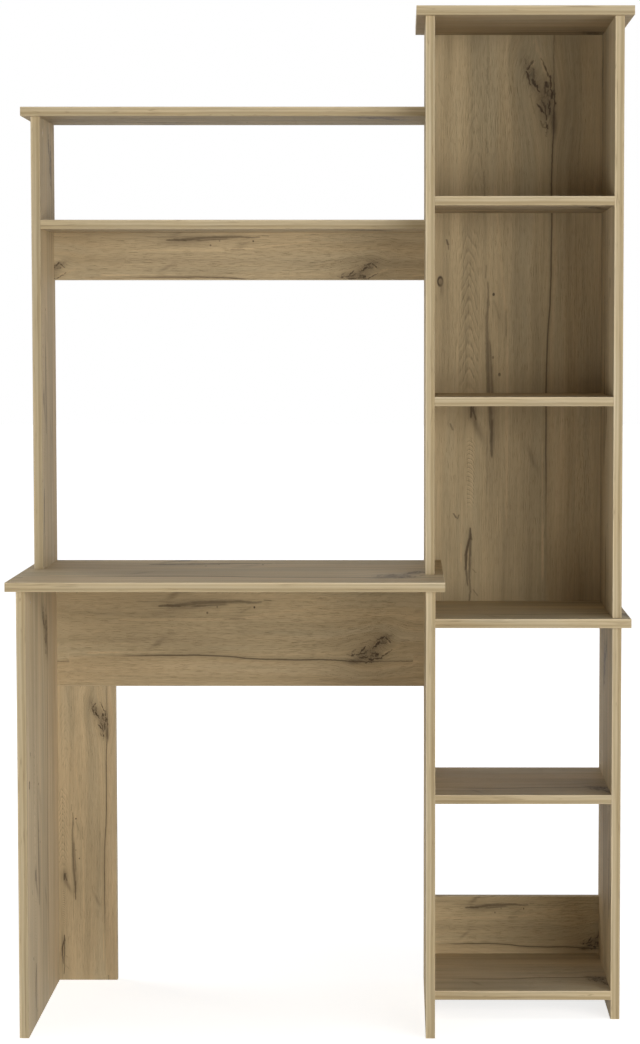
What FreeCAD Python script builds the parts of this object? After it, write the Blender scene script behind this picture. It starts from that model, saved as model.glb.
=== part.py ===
import FreeCAD, Part
import math
import os

Vec = FreeCAD.Vector

# A student desk of flat laminated boards: a desk on two leg panels, a hutch over its left part,
# a tall open shelf tower at its right end, and a low open cabinet under the tower.
# The tower stands half on the desk, whose right leg is also the cabinet's left wall.
# All boards end in one rear plane. +X is to the right, the front looks along -Y, +Z is up,
# and the origin is on the floor under the middle of the overall box. Sizes are in millimetres.

# Boards and their edge bands
board_thickness = 15.0
band_thickness = 1.0
band_ease = 0.7
back_thickness = 3.0
back_inset = 1.5

# Widths
knee_width = 635.0
tower_inner_width = 290.0
side_overhang = 15.0
strip_width = 101.0

# Depths
desk_depth = 450.0
leg_setback = 20.0
tower_depth = 300.0
tower_lip = 15.0
hutch_depth = 197.0
hutch_lip = 15.0

# Heights of the desk
desk_height = 734.0
modesty_height = 203.0

# Clear heights in the hutch: over the desk top, and between the shelf and the hutch top
screen_height = 564.0
cubby_height = 169.0
rail_height = 81.0

# Clear heights in the tower, from the counter upwards
tower_low_height = 345.0
tower_mid_height = 309.0
tower_high_height = 288.0

# Heights in the cabinet: the counter lies a step below the desk top
counter_drop = 71.0
toe_gap = 32.0
cabinet_low_height = 310.0
back_rail_height = 101.0

# Wooden dowels: the shallow end sits in a board's face, the deep end in the other board's edge.
# They are fluted, so each is a bar with one flat per flute.
dowel_diameter = 8.0
dowel_flutes = 12
dowel_length = 30.0
dowel_face_depth = 10.0
dowel_clearance = 0.05
glue_gap = 1.0

# Cam fittings: a round housing in the upright's face draws in a bolt that hangs from the top board
cam_diameter = 15.0
cam_height = 12.0
cam_clearance = 0.1
cam_setback = 24.0
cam_slot_width = 1.5
cam_slot_depth = 2.0
bolt_diameter = 6.5
bolt_thread_diameter = 5.0
bolt_thread_length = 10.0

# Brads of the tower's back panel
brad_width = 1.6
brad_height = 1.2
brad_length = 18.0
brad_clearance = 0.05
brads_per_side = 5
brads_per_end = 2

# Places of fasteners, as shares of the depth of the board that they sit in, counted from the rear
shelf_dowel_shares = (0.22, 0.80)
hutch_dowel_shares = (0.40, 0.82)
stack_dowel_shares = (0.24, 0.60)
counter_dowel_shares = (0.16, 0.70)
modesty_dowel_shares = (0.25, 0.75)
strip_dowel_shares = (0.18, 0.82)
top_dowel_share = 0.20
leg_cam_share = 0.85
upright_cam_share = 0.80

# Place of the brads across an upright's rear edge, as a share of its thickness from the tower's inside
brad_edge_share = 0.18

half_board = board_thickness / 2
half_share = 0.5

# Planes that pieces share, from left to right
total_width = 2 * side_overhang + 3 * board_thickness + knee_width + tower_inner_width
total_depth = desk_depth + back_thickness
left_end = -total_width / 2
left_panel = left_end + side_overhang
knee_left = left_panel + board_thickness
knee_right = knee_left + knee_width
tower_left = knee_right + board_thickness
tower_right = tower_left + tower_inner_width
right_panel = tower_right + board_thickness
right_end = right_panel + side_overhang

# From front to rear: every board's rear edge lies in the rear plane, under the thin back panel
rear = total_depth / 2 - back_thickness
desk_front = rear - desk_depth
leg_front = desk_front + leg_setback
tower_front = rear - tower_depth
tower_top_front = tower_front - tower_lip
hutch_front = rear - hutch_depth
hutch_top_front = hutch_front - hutch_lip
rail_front = rear - board_thickness

# From the floor upwards
desk_under = desk_height - board_thickness
modesty_foot = desk_under - modesty_height
counter_top = desk_height - counter_drop
counter_under = counter_top - board_thickness
bottom_top = toe_gap + board_thickness
cabinet_shelf_under = bottom_top + cabinet_low_height
middle_shelf_under = counter_top + tower_low_height
upper_shelf_under = middle_shelf_under + board_thickness + tower_mid_height
tower_under = upper_shelf_under + board_thickness + tower_high_height
total_height = tower_under + board_thickness
hutch_shelf_under = desk_height + screen_height
hutch_under = hutch_shelf_under + board_thickness + cubby_height

# Axis and side of each edge of a board: 0 is the low side of the axis, 1 the high side
edges = {"front": (1, 0), "left": (0, 0), "right": (0, 1), "bottom": (2, 0), "top": (2, 1)}

boards = {}
bands = {}
fasteners = {}


def block(spans):
    """A box from its low and high limits along X, Y and Z."""
    low = Vec(*[span[0] for span in spans])
    sizes = [span[1] - span[0] for span in spans]
    return Part.makeBox(*sizes, low)


def eased_strip(spans, axis, outer):
    """One edge band, with its two long outer arrises rounded off."""
    strip = block(spans)
    length = max(span[1] - span[0] for span in spans)
    arrises = []
    for edge in strip.Edges:
        on_face = abs(edge.CenterOfMass[axis] - outer) < band_thickness / 2
        if on_face and edge.Length > length - band_thickness:
            arrises.append(edge)
    return strip.makeFillet(band_ease, arrises)


def board(name, x_span, y_span, z_span, banded):
    """A board and its bands. The first band named covers the ends of the ones after it."""
    core = [list(x_span), list(y_span), list(z_span)]
    strips = []
    for edge in banded:
        axis, side = edges[edge]
        outer = core[axis][side]
        inner = outer + band_thickness * (1 - 2 * side)
        strip = [list(span) for span in core]
        strip[axis] = sorted((outer, inner))
        strips.append(eased_strip(strip, axis, outer))
        core[axis][side] = inner
    boards[name] = block(core)
    if strips:
        bands[name] = strips


def cut(name, tool):
    """Takes a hole out of a board."""
    boards[name] = boards[name].cut(tool)


def rod(start, direction, radius, length):
    """A round bar or the drill for its hole."""
    return Part.makeCylinder(radius, length, start, direction)


def fluted_bar(start, direction, radius, length):
    """A bar with flats along it, for what lies hidden inside the boards."""
    turn = 2 * math.pi / dowel_flutes
    corners = []
    for step in range(dowel_flutes + 1):
        corners.append(Vec(radius * math.cos(step * turn), radius * math.sin(step * turn), 0))
    bar = Part.Face(Part.makePolygon(corners)).extrude(Vec(0, 0, length))
    bar.Placement = FreeCAD.Placement(start, FreeCAD.Rotation(Vec(0, 0, 1), direction))
    return bar


def fasten(group, solid):
    """Adds one fastener to the group of its kind."""
    fasteners.setdefault(group, []).append(solid)


def dowel(group, edge_board, face_board, seat, direction):
    """A dowel across the joint at seat. Direction leads from the face board into the edge board."""
    bore = dowel_diameter / 2 + dowel_clearance
    edge_depth = dowel_length - dowel_face_depth + glue_gap
    cut(face_board, fluted_bar(seat, -direction, bore, dowel_face_depth))
    cut(edge_board, fluted_bar(seat, direction, bore, edge_depth))
    start = seat - direction * dowel_face_depth
    fasten(group, fluted_bar(start, direction, dowel_diameter / 2, dowel_length))


def stack_dowel(lower, middle, upper, x, y, z):
    """A long dowel through a level board at z that ties the panel under it to the panel over it."""
    bore = dowel_diameter / 2 + dowel_clearance
    depth = dowel_length - dowel_face_depth
    up = Vec(0, 0, 1)
    foot = Vec(x, y, z - depth)
    head = Vec(x, y, z + board_thickness)
    cut(lower, fluted_bar(foot, up, bore, depth))
    cut(middle, fluted_bar(Vec(x, y, z), up, bore, board_thickness))
    cut(upper, fluted_bar(head, up, bore, depth + glue_gap))
    length = 2 * depth + board_thickness
    fasten("through_dowels", fluted_bar(foot, up, dowel_diameter / 2, length))


def cam_fitting(upright, top_board, x, y, z, face):
    """A cam fitting at an upright's top edge at z. Face is the side of the upright with the housing."""
    down = Vec(0, 0, -1)
    inward = Vec(-face, 0, 0)
    seat = Vec(x, y, z)
    mouth = Vec(x + face * half_board, y, z - cam_setback)
    cam_radius = cam_diameter / 2
    bolt_radius = bolt_diameter / 2
    bore = bolt_radius + cam_clearance
    cut(upright, rod(mouth, inward, cam_radius + cam_clearance, cam_height))
    cut(upright, fluted_bar(seat, down, bore, cam_setback))
    thread_bore = bolt_thread_diameter / 2 + cam_clearance
    cut(top_board, fluted_bar(seat, -down, thread_bore, bolt_thread_length + cam_clearance))

    # The housing is open towards the bolt and has a cross recess for the driver in its outer face.
    cam = rod(mouth, inward, cam_radius, cam_height)
    pocket = [(x - bore, x + bore), (y - bore, y + bore), (mouth.z, mouth.z + cam_diameter)]
    cam = cam.cut(block(pocket))
    recess = sorted((mouth.x, mouth.x - face * cam_slot_depth))
    half_width = cam_slot_width / 2
    half_length = cam_radius / 2
    for long_y, long_z in ((half_length, half_width), (half_width, half_length)):
        arm = [recess, (y - long_y, y + long_y), (mouth.z - long_z, mouth.z + long_z)]
        cam = cam.cut(block(arm))
    fasten("cam_housings", cam)

    thread = fluted_bar(seat, -down, bolt_thread_diameter / 2, bolt_thread_length)
    shank = fluted_bar(seat, down, bolt_radius, cam_setback)
    fasten("cam_bolts", thread.fuse(shank))


def brad(edge_board, x, z):
    """One brad through the thin back panel into a board's rear edge, its head flush with the panel."""
    outside = rear + back_thickness
    depth_span = (outside - brad_length, outside)
    half_width = brad_width / 2
    half_height = brad_height / 2
    fasten("back_panel_brads", block([(x - half_width, x + half_width), depth_span,
                                      (z - half_height, z + half_height)]))
    half_width += brad_clearance
    half_height += brad_clearance
    hole = block([(x - half_width, x + half_width), depth_span, (z - half_height, z + half_height)])
    cut("tower_back_panel", hole)
    cut(edge_board, hole)


def from_rear(depth, share):
    """A place in front of the rear plane, as a share of a board's depth."""
    return rear - depth * share


def along(low, high, share):
    """A place between two limits."""
    return low + (high - low) * share


# Desk
desk_right_end = tower_left + side_overhang
board("desk_top", (left_end, desk_right_end), (desk_front, rear), (desk_under, desk_height),
      ("front", "left", "right"))
board("left_leg_panel", (left_panel, knee_left), (leg_front, rear), (0, desk_under), ("front",))
board("right_leg_panel", (knee_right, tower_left), (leg_front, rear), (0, desk_under), ("front",))
board("modesty_panel", (knee_left, knee_right), (rail_front, rear), (modesty_foot, desk_under),
      ("bottom",))
board("rear_leg_strip", (knee_left, knee_left + strip_width), (rail_front, rear), (0, modesty_foot),
      ("right",))

# Hutch
board("hutch_upright", (left_panel, knee_left), (hutch_front, rear), (desk_height, hutch_under),
      ("front",))
board("hutch_top", (left_end, knee_right), (hutch_top_front, rear),
      (hutch_under, hutch_under + board_thickness), ("front", "left"))
board("hutch_shelf", (knee_left, knee_right), (hutch_front, rear),
      (hutch_shelf_under, hutch_shelf_under + board_thickness), ("front",))
board("hutch_rail", (knee_left, knee_right), (rail_front, rear),
      (hutch_shelf_under - rail_height, hutch_shelf_under), ("bottom",))

# Tower
board("tower_left_upright", (knee_right, tower_left), (tower_front, rear), (desk_height, tower_under),
      ("front",))
board("tower_right_upright", (tower_right, right_panel), (tower_front, rear),
      (counter_top, tower_under), ("front",))
board("tower_top", (knee_right - side_overhang, right_end), (tower_top_front, rear),
      (tower_under, total_height), ("front", "left", "right"))
for shelf, under in (("tower_upper_shelf", upper_shelf_under), ("tower_middle_shelf", middle_shelf_under)):
    board(shelf, (tower_left, tower_right), (tower_front, rear), (under, under + board_thickness),
          ("front",))
board("tower_back_panel", (knee_right + back_inset, right_panel - back_inset),
      (rear, rear + back_thickness), (counter_under + back_inset, total_height - back_inset), ())

# Cabinet
board("cabinet_counter", (tower_left, right_end), (tower_top_front, rear), (counter_under, counter_top),
      ("front", "right"))
board("cabinet_side_panel", (tower_right, right_panel), (tower_front, rear), (0, counter_under),
      ("front",))
for shelf, under in (("cabinet_shelf", cabinet_shelf_under), ("cabinet_bottom", toe_gap)):
    board(shelf, (tower_left, tower_right), (tower_front, rear), (under, under + board_thickness),
          ("front",))
board("cabinet_back_rail", (tower_left, tower_right), (rail_front, rear),
      (bottom_top, bottom_top + back_rail_height), ("top",))

# Middle planes of the upright panels, in which their fasteners lie
left_middle = left_panel + half_board
right_middle = knee_right + half_board
outer_middle = tower_right + half_board
rail_middle = rear - half_board
to_right = Vec(1, 0, 0)
to_left = Vec(-1, 0, 0)

# Panels that stand over each other, with the desk top or the counter between them
for share in stack_dowel_shares:
    stack_y = from_rear(hutch_depth, share)
    stack_dowel("left_leg_panel", "desk_top", "hutch_upright", left_middle, stack_y, desk_under)
    stack_dowel("right_leg_panel", "desk_top", "tower_left_upright", right_middle, stack_y, desk_under)
for share in counter_dowel_shares:
    stack_dowel("cabinet_side_panel", "cabinet_counter", "tower_right_upright", outer_middle,
                from_rear(tower_depth, share), counter_under)

# Modesty panel and strip between the legs
for share in modesty_dowel_shares:
    z = along(modesty_foot, desk_under, share)
    dowel("desk_dowels", "modesty_panel", "left_leg_panel", Vec(knee_left, rail_middle, z), to_right)
    dowel("desk_dowels", "modesty_panel", "right_leg_panel", Vec(knee_right, rail_middle, z), to_left)
for share in strip_dowel_shares:
    z = along(0, modesty_foot, share)
    dowel("desk_dowels", "rear_leg_strip", "left_leg_panel", Vec(knee_left, rail_middle, z), to_right)

# Hutch: the shelf is held at its front by dowels and at its rear by the rail's own dowels.
for share in hutch_dowel_shares:
    seat = Vec(knee_right, from_rear(hutch_depth, share), hutch_under + half_board)
    dowel("hutch_dowels", "hutch_top", "tower_left_upright", seat, to_left)
shelf_y = from_rear(hutch_depth, hutch_dowel_shares[1])
shelf_z = hutch_shelf_under + half_board
rail_z = hutch_shelf_under - rail_height * half_share
for name, y, z in (("hutch_shelf", shelf_y, shelf_z), ("hutch_rail", rail_middle, rail_z)):
    dowel("hutch_dowels", name, "hutch_upright", Vec(knee_left, y, z), to_right)
    dowel("hutch_dowels", name, "tower_left_upright", Vec(knee_right, y, z), to_left)
hutch_dowel_seat = Vec(left_middle, from_rear(hutch_depth, top_dowel_share), hutch_under)
dowel("hutch_dowels", "hutch_upright", "hutch_top", hutch_dowel_seat, Vec(0, 0, -1))

# Tower shelves and cabinet boards between their uprights
for share in shelf_dowel_shares:
    y = from_rear(tower_depth, share)
    for name, under in (("tower_upper_shelf", upper_shelf_under), ("tower_middle_shelf", middle_shelf_under)):
        z = under + half_board
        dowel("tower_dowels", name, "tower_left_upright", Vec(tower_left, y, z), to_right)
        dowel("tower_dowels", name, "tower_right_upright", Vec(tower_right, y, z), to_left)
    z = cabinet_shelf_under + half_board
    dowel("cabinet_dowels", "cabinet_shelf", "right_leg_panel", Vec(tower_left, y, z), to_right)
    dowel("cabinet_dowels", "cabinet_shelf", "cabinet_side_panel", Vec(tower_right, y, z), to_left)
    seat = Vec(tower_left, y, counter_under + half_board)
    dowel("cabinet_dowels", "cabinet_counter", "right_leg_panel", seat, to_right)

# The cabinet's bottom board is held at its front by dowels and at its rear by the back rail's.
bottom_y = from_rear(tower_depth, shelf_dowel_shares[1])
bottom_z = toe_gap + half_board
back_rail_z = bottom_top + back_rail_height * half_share
for name, y, z in (("cabinet_bottom", bottom_y, bottom_z), ("cabinet_back_rail", rail_middle, back_rail_z)):
    dowel("cabinet_dowels", name, "right_leg_panel", Vec(tower_left, y, z), to_right)
    dowel("cabinet_dowels", name, "cabinet_side_panel", Vec(tower_right, y, z), to_left)

# Tops: a dowel at the rear and a cam fitting at the front of each upright
for name, x in (("tower_left_upright", right_middle), ("tower_right_upright", outer_middle)):
    seat = Vec(x, from_rear(tower_depth, top_dowel_share), tower_under)
    dowel("tower_dowels", name, "tower_top", seat, Vec(0, 0, -1))
tower_cam_y = from_rear(tower_depth, upright_cam_share)
cam_fitting("tower_left_upright", "tower_top", right_middle, tower_cam_y, tower_under, 1)
cam_fitting("tower_right_upright", "tower_top", outer_middle, tower_cam_y, tower_under, -1)
hutch_cam_y = from_rear(hutch_depth, upright_cam_share)
cam_fitting("hutch_upright", "hutch_top", left_middle, hutch_cam_y, hutch_under, 1)
leg_cam_y = from_rear(desk_depth - leg_setback, leg_cam_share)
cam_fitting("left_leg_panel", "desk_top", left_middle, leg_cam_y, desk_under, 1)
cam_fitting("right_leg_panel", "desk_top", right_middle, leg_cam_y, desk_under, 1)

# Brads round the tower's back panel
brad_edge = board_thickness * brad_edge_share
for step in range(brads_per_side):
    place_share = (step + half_share) / brads_per_side
    brad("tower_left_upright", tower_left - brad_edge, along(desk_height, tower_under, place_share))
    brad("tower_right_upright", tower_right + brad_edge, along(counter_top, tower_under, place_share))
for step in range(brads_per_end):
    x = along(tower_left, tower_right, (step + half_share) / brads_per_end)
    brad("tower_top", x, tower_under + half_board)
    brad("cabinet_counter", x, counter_under + half_board)

# One file per piece: the boards, each board's bands, and each kind of fastener
os.makedirs("parts", exist_ok=True)
for name, shape in boards.items():
    shape.exportStep("parts/%s.step" % name)
for name, strips in bands.items():
    Part.makeCompound(strips).exportStep("parts/%s_edge_band.step" % name)
for name, solids in fasteners.items():
    Part.makeCompound(solids).exportStep("parts/%s.step" % name)
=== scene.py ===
"""Dresses the student desk with hutch: oak print, pale edge bands, fittings and a studio stage."""
import math

import bpy
from bpy.props import FloatProperty, FloatVectorProperty, PointerProperty
from mathutils import Euler, Matrix, Vector


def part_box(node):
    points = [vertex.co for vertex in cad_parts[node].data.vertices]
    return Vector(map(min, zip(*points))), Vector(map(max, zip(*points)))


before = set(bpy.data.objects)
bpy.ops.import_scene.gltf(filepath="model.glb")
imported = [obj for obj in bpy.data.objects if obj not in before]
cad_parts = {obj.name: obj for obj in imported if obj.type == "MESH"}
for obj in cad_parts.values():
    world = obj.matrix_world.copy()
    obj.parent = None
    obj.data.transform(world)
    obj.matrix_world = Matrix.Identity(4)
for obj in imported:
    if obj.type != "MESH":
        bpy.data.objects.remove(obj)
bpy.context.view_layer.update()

bl_info = {
    "name": "Student Desk Dressing",
    "version": (1, 0, 0),
    "blender": (4, 5, 0),
    "location": "View3D > Sidebar > Desk",
    "description": "Oak print, edge bands, fittings and stage for a student desk with hutch",
    "category": "Object",
}

PHOTO_WIDTH = 640
PHOTO_HEIGHT = 1044
WHITE = (1.0, 1.0, 1.0, 1.0)

ALONG_X = (1, 0, 0)
ALONG_Y = (0, 1, 0)
ALONG_Z = (0, 0, 1)
TOWARDS_LEFT = (-1, 0, 0)
TOWARDS_FRONT = (0, -1, 0)
# How the print lies on each kind of board: the way its grain runs, and the way across it from the crack.
UPRIGHT = (ALONG_Z, TOWARDS_FRONT)
PANEL = (ALONG_Z, TOWARDS_LEFT)
RAIL = (ALONG_X, ALONG_Z)
SHELF = (ALONG_X, ALONG_Y)
TURNED_SHELF = (ALONG_X, TOWARDS_FRONT)

# Noises: stretch along and across, detail, and where it is not the usual one, roughness and distortion.
NOISES = {
    "wander": (16.0, 22.0, 2.0),
    "tremble": (110.0, 150.0, 2.0, 0.60),
    "ragged": (90.0, 330.0, 3.0),
    "gnarl": (75.0, 260.0, 3.0, 0.60, 1.20),
    "drift": (9.0, 60.0, 3.0),
    "tone": (1.3, 16.0, 3.0),
    "stripe": (1.7, 110.0, 3.0, 0.52),
    "wisp": (2.6, 46.0, 2.0, 0.42, 0.25),
    "fibre": (8.0, 560.0, 3.0, 0.58),
    "patch": (3.0, 20.0, 1.0),
    "dashes": (15.0, 430.0, 2.0),
    "relief": (10.0, 560.0, 3.0, 0.62),
    "pits": (42.0, 1500.0, 1.0),
    "band's sway": (5.0, 25.0, 2.0),
    "band's stripes": (2.4, 420.0, 3.0, 0.60),
    "band's fibre": (9.0, 900.0, 3.0, 0.60),
    "band's blush": (6.0, 70.0, 2.0),
    "band's slivers": (8.0, 330.0, 2.0, 0.50, 0.40),
    "band's rings": (3.2, 95.0, 1.0),
    "cover's grain": (13.0, 560.0, 4.0),
    "beech rings": (220.0, 220.0, 4.0),
    "zinc spangle": (900.0, 900.0, 3.0),
}
NOISE_RANGE = (0.25, 0.75)

# A name that ends in EDGE holds where a mark starts and where it is full. Names that end in FADE, SIDE or
# ROUGHNESS hold two places, or values of a noise, and where four numbers stand, the strength at each.
WOOD_ROUGHNESS = (0.2, 0.8, 0.72, 0.58)
BARE_ROUGHNESS = 0.85
SHEEN_LEVEL = 0.25
FACE_EDGE = (0.4, 0.6)

# The print's own sizes, in metres on the tower's back panel, where it is shown at its true size.
# Along runs up the grain and across runs from the long crack towards the dark streak.
PRINT_LENGTH = 1.0066
BIG_KNOT = (0.866, 0.007)
WANDER = 0.0009
DRIFT = 0.9
PALE_PLANK_SIDE = (0.1845, 0.1865, 1.0, 1.08)
FAR_PLANK = (1.018, 0.995, 0.980)

# The print trembles, and its strokes are ragged, most round the knots at its upper end.
TREMBLE = 0.0034
KNOT_FADE = (0.66, 0.80, 0.20, 1.0)
RAGGED_NOISE = (0.34, 0.66)
RAGGED = (0.30, 1.40)
GNARL_NOISE = (0.30, 0.70)
GNARL = 0.75

# How far each noise lightens and darkens the print, times its Fibre setting.
LIGHTENERS = {"stripe": 0.46, "wisp": 0.62, "fibre": 0.46, "patch": 0.40}
# The share of two noises in the drift from the ground's colour to the grey.
MOOD_TONE = 0.6
MOOD_WISP = 0.4
MOOD_EDGE = (0.41, 0.64)
DASH_EDGE = (0.58, 0.72)
DASH_FADE = (0.40, 0.62, 0.25, 1.0)
DASH_DEPTH = 0.05
PIT_EDGE = (0.60, 0.74)
DEEPEST_STAIN = 0.6

# The long crack between two planks of the print: along, across.
CRACK_LINE = (
    (0.000, 0.0072), (0.130, 0.0062), (0.285, 0.0066), (0.373, 0.0068), (0.475, 0.0041),
    (0.544, -0.0003), (0.682, -0.0018), (0.763, -0.0018), (0.810, -0.0041), (0.854, -0.0055),
    (0.922, -0.0046), (0.985, -0.0046), (1.000, -0.0044),
)
CRACK_REACH = 0.010
CRACK_HALF_WIDTH = 0.0022
CRACK_UNEVEN = (0.75, 1.15)
CRACK_TREMBLE = 0.30
CRACK_EDGE = (1.15, 0.25)
CRACK_SHADE_SIDE = (0.0075, 0.0, 0.0, 0.26)
CRACK_WIDTH_FADE = (0.94, 0.84, 0.62, 1.0)
CRACK_FOOT_FADE = (0.10, 0.29, 0.10, 0.80)
CRACK_TOP_FADE = (0.96, 0.86, 0.72, 1.0)
PLANK_EDGE = (-0.0012, 0.0012)

# Marks are laid in batches of this many, each shifted by the one before it too little to see.
MARK_BATCH = 10
UNSEEN_SHIFT = 0.0000001
# The marks' tables give their lengths in millimetres of the print. The numbers of these sockets are plain.
MILLIMETRE = 0.001
PLAIN_SOCKETS = ("Depth", "Lean", "Heart", "Steepness")

STROKE_SOCKETS = (
    "Start Along", "Start Across", "End Along", "End Across", "Start Width", "End Width", "Depth")
STROKE_EDGE = (1.50, 0.25)
STROKE_FADE = (0.0, 0.13)

STAIN_SOCKETS = ("Centre Along", "Centre Across", "Half Length", "Half Width", "Lean", "Depth")
BEND_ALONG = 0.18
BEND_ACROSS = 0.10
BEND_PULL = -0.62

EYE_SOCKETS = ("Centre Along", "Centre Across", "Half Length", "Half Width", "Depth", "Heart")
EYE_RING = 0.75
EYE_RING_EDGE = (0.46, 0.08)
EYE_HEART_EDGE = (1.05, 0.55)
EYE_LEAN = 0.6
EYE_SIDE = (-1.0, 0.5, 0.6, 1.0)

FLAME_SOCKETS = ("Middle", "Half Width", "Lowest", "Highest", "Spacing", "Steepness", "Lean", "Depth")
ARCH_ROUND = 0.004
FLAME_WAVES = {"Lines": 0.55, "Light": 0.28}
FLAME_EDGE = (0.20, 0.03)
FLAME_SIDE = (1.0, 0.35)
FLAME_FADE = (0.0, 0.10)
FLAME_FIBRE_FADE = (0.62, 0.40, 0.45, 1.3)
FLAME_LIGHT = 0.45

# Dark strokes of each mark: start along and across, end along and across, start and end half width, depth.
DARK_STROKES = {
    "upper knot": {
        "outer rim": (947.5, 45.5, 934.7, 42.8, 1.5, 1.5, 0.46),
        "slant": (943.2, 29.9, 931.3, 37.1, 1.5, 2.1, 0.71),
        "head": (934.5, 35.2, 925.0, 40.8, 2.5, 3.0, 0.98),
        "heart": (924.6, 44.6, 913.2, 36.8, 3.2, 3.0, 1.00),
        "heart's tail": (917.0, 40.1, 898.1, 35.0, 2.1, 1.5, 0.84),
        "inner rim": (930.9, 31.4, 909.8, 27.9, 1.5, 1.8, 0.75),
        "belly": (911.5, 33.2, 896.5, 25.5, 3.2, 3.7, 1.00),
        "point": (904.0, 28.7, 886.5, 19.4, 3.0, 1.4, 1.00),
        "cross": (911.7, 34.0, 904.1, 30.5, 1.5, 1.5, 0.63),
    },
    "thin strand": {
        "head": (947.5, 18.9, 930.6, 9.7, 1.1, 1.5, 0.66),
        "tail": (936.2, 12.4, 912.8, 3.5, 1.5, 1.8, 0.80),
    },
    "right strand": {
        "head": (917.7, 0.9, 902.6, 1.6, 1.6, 2.5, 0.87),
        "neck": (910.4, 2.1, 887.0, -1.0, 2.5, 2.2, 1.00),
        "bead": (907.2, 9.4, 894.6, 7.8, 3.2, 3.2, 1.00),
        "bead's tail": (897.7, 10.7, 884.9, 8.4, 2.1, 1.6, 0.71),
        "body": (894.0, 0.5, 875.0, -2.2, 2.2, 2.0, 1.00),
        "rim": (888.3, -5.0, 864.9, -6.2, 2.0, 2.2, 0.96),
        "fold": (893.2, 5.7, 880.4, 6.4, 1.5, 1.5, 0.62),
        "foot": (876.6, 3.0, 847.5, 2.3, 1.8, 2.0, 1.00),
    },
    "lower strand": {
        "arm": (869.8, 24.5, 850.8, 11.3, 2.8, 2.2, 1.00),
        "shoulder": (876.2, 17.5, 862.6, 10.9, 1.5, 1.6, 0.66),
        "spine": (868.6, 11.7, 837.7, 7.4, 1.9, 1.5, 0.96),
        "drop": (838.0, 8.8, 824.0, 6.0, 2.0, 2.8, 1.00),
        "tail": (829.3, 7.4, 811.0, 7.7, 1.7, 1.1, 0.70),
        "curl": (840.7, 18.5, 825.9, 11.2, 1.5, 1.9, 0.57),
        "curl's back": (837.7, 10.5, 827.1, 14.2, 1.3, 1.3, 0.48),
        "outline": (887.9, 36.5, 848.2, 26.9, 1.3, 1.5, 0.25),
    },
    "small knot": {
        "head": (638.0, 179.0, 626.2, 175.5, 1.8, 2.4, 0.78),
        "tail": (630.0, 176.3, 618.2, 174.7, 1.6, 1.0, 0.51),
    },
    "streak": {
        "tip": (595.0, 110.5, 568.4, 111.4, 1.3, 1.5, 0.37),
        "thin end": (568.0, 107.9, 518.0, 106.4, 1.5, 2.5, 0.52),
        "neck": (542.0, 106.8, 480.0, 109.4, 2.4, 2.7, 0.57),
        "middle": (512.0, 109.2, 440.0, 107.4, 2.6, 4.0, 0.54),
        "thick end": (476.0, 108.1, 345.0, 105.4, 3.6, 4.4, 0.59),
        "second edge": (471.1, 103.7, 350.0, 98.5, 1.4, 2.7, 0.49),
        "under": (380.0, 105.2, 300.0, 101.0, 4.4, 2.8, 0.54),
        "core": (332.0, 100.1, 282.0, 101.6, 2.2, 3.6, 0.74),
        "point": (299.0, 101.5, 259.0, 99.7, 3.2, 1.8, 0.71),
        "left line": (309.7, 108.3, 188.6, 108.4, 1.3, 1.2, 0.26),
    },
    "beside the streak": {
        "thin line": (520.0, 76.6, 466.0, 75.9, 1.4, 1.3, 0.38),
        "diamond's edge": (535.6, 98.5, 498.2, 86.9, 1.9, 2.3, 0.20),
    },
    "fork knot": {
        "left": (356.0, 134.6, 328.0, 136.8, 2.2, 2.0, 0.77),
        "right": (350.0, 133.7, 325.0, 127.1, 2.2, 1.8, 0.71),
        "top": (356.0, 129.7, 338.0, 134.9, 2.0, 1.5, 0.64),
        "mark beside it": (321.9, 172.4, 307.7, 167.0, 1.5, 2.1, 0.48),
    },
    "star": {
        "left": (166.0, 166.9, 156.0, 161.5, 1.6, 2.0, 0.71),
        "right": (163.5, 156.4, 154.5, 160.1, 1.5, 1.9, 0.57),
    },
    "spindle": {
        "top": (142.0, 137.6, 116.5, 136.6, 1.5, 3.5, 0.90),
        "left": (127.0, 137.1, 88.0, 145.4, 2.5, 2.8, 0.88),
        "left belly": (103.0, 143.8, 63.0, 144.8, 2.8, 2.0, 0.84),
        "left tail": (73.4, 145.1, 36.7, 140.8, 2.0, 1.3, 0.64),
        "right": (125.0, 136.3, 86.0, 137.7, 2.5, 2.5, 0.68),
        "right tail": (96.6, 137.5, 46.4, 138.9, 2.5, 1.8, 0.61),
        "foot": (60.0, 138.5, 25.0, 136.5, 1.5, 2.2, 0.58),
        "toe": (34.8, 136.2, 1.0, 139.8, 2.2, 1.3, 0.64),
    },
    "hook": {
        "upper": (69.6, 134.3, 61.1, 126.2, 1.3, 1.5, 0.39),
        "lower": (34.0, 132.7, 20.8, 123.5, 1.3, 1.5, 0.43),
    },
    "line over the streak": {
        "high": (969.0, 105.2, 878.5, 111.1, 1.2, 1.3, 0.26),
        "middle": (815.0, 109.8, 781.0, 109.0, 1.2, 1.3, 0.26),
        "low": (758.0, 115.1, 704.0, 112.9, 1.2, 1.3, 0.30),
    },
}

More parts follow.
